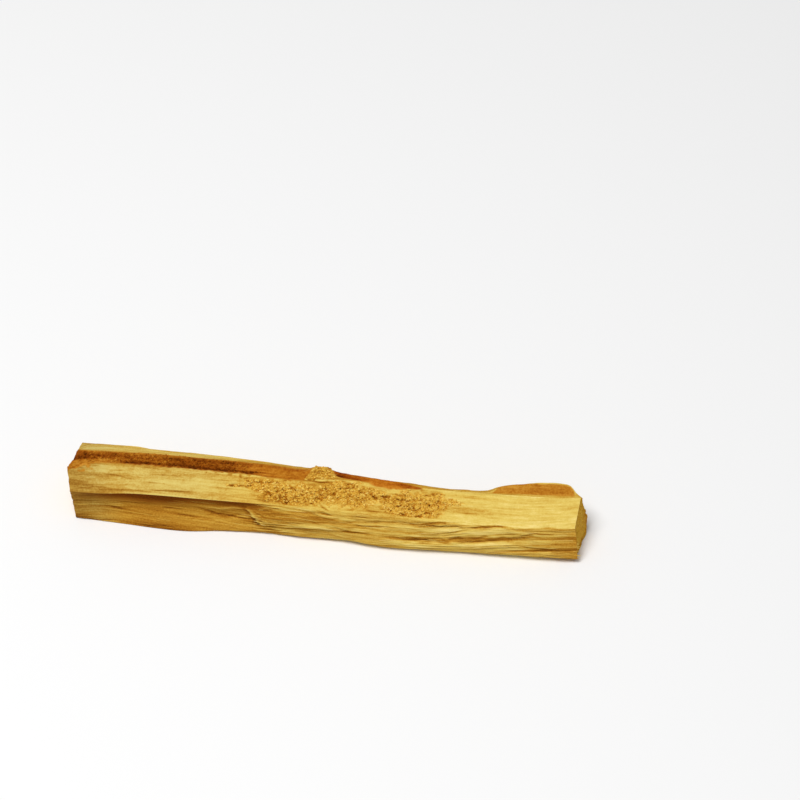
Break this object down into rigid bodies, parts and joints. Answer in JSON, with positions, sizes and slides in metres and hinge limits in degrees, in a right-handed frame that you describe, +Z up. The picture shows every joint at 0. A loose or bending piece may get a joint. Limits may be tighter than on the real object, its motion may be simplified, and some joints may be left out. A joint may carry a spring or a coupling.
{
  "type": "palo santo stick",
  "caption": "Split stick of resinous wood with a strip of bark along its top edge and sawn ends, burnt as incense; it lies on its flat underside.",
  "frame": {"origin": "centre of the bounding box on the surface that the stick lies on", "axes": "+X along the grain towards the end with the bark flake, +Y towards the bark side, +Z up"},
  "size_m": [0.1009, 0.0141, 0.0102],
  "materials": {
    "wood": "raw split wood, dry and matt, with crumbly patches and remains of bark"
  },
  "bodies": {
    "root": {"stick": "wood"}
  },
  "joints": []
}
